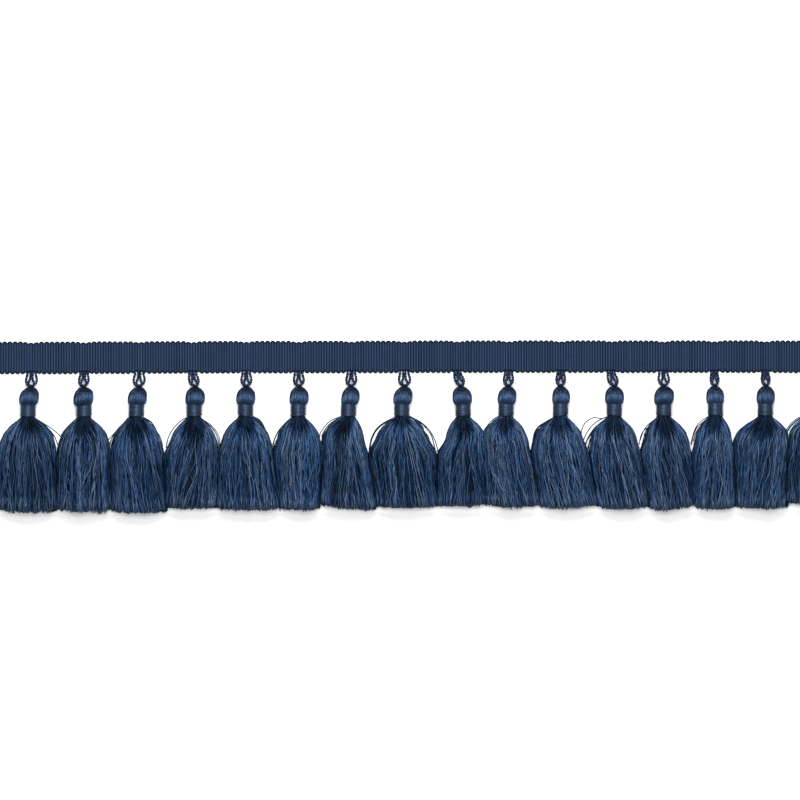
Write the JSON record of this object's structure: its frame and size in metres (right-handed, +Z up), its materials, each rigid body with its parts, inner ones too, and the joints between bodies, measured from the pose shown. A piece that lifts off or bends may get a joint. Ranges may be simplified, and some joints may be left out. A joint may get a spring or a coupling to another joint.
{
  "type": "tassel fringe trim",
  "caption": "Trim of short yarn tassels with ball heads and bound waists, hung by twisted cord loops from a woven heading tape and laid flat; sewn along the edge of cushions, curtains or shades.",
  "frame": {"origin": "centre of the heading tape's back face, midway along the tape and across its width", "axes": "+X along the tape; the tassels lie towards -Y; +Z up, out of the tape's front face"},
  "size_m": [0.45, 0.0899, 0.0124],
  "materials": {
    "tape_weave": "matt ribbed grosgrain in dark navy, fine ribs across the band",
    "loop_cord": "two-ply twisted navy cord, slight sheen",
    "hank_yarn": "silky navy viscose thread, satin sheen along the strands",
    "binding_thread": "navy thread wound close in fine turns, satin"
  },
  "bodies": {
    "root": {"heading_tape": "tape_weave", "loop_01": "loop_cord", "loop_02": "loop_cord", "loop_03": "loop_cord", "loop_04": "loop_cord", "loop_05": "loop_cord", "loop_06": "loop_cord", "loop_07": "loop_cord", "loop_08": "loop_cord", "loop_09": "loop_cord", "loop_10": "loop_cord", "loop_11": "loop_cord", "loop_12": "loop_cord", "loop_13": "loop_cord", "loop_14": "loop_cord", "loop_15": "loop_cord", "loop_16": "loop_cord", "hank_01": "hank_yarn", "hank_02": "hank_yarn", "hank_03": "hank_yarn", "hank_04": "hank_yarn", "hank_05": "hank_yarn", "hank_06": "hank_yarn", "hank_07": "hank_yarn", "hank_08": "hank_yarn", "hank_09": "hank_yarn", "hank_10": "hank_yarn", "hank_11": "hank_yarn", "hank_12": "hank_yarn", "hank_13": "hank_yarn", "hank_14": "hank_yarn", "hank_15": "hank_yarn", "hank_16": "hank_yarn", "binding_01": "binding_thread", "binding_02": "binding_thread", "binding_03": "binding_thread", "binding_04": "binding_thread", "binding_05": "binding_thread", "binding_06": "binding_thread", "binding_07": "binding_thread", "binding_08": "binding_thread", "binding_09": "binding_thread", "binding_10": "binding_thread", "binding_11": "binding_thread", "binding_12": "binding_thread", "binding_13": "binding_thread", "binding_14": "binding_thread", "binding_15": "binding_thread", "binding_16": "binding_thread"}
  },
  "joints": []
}
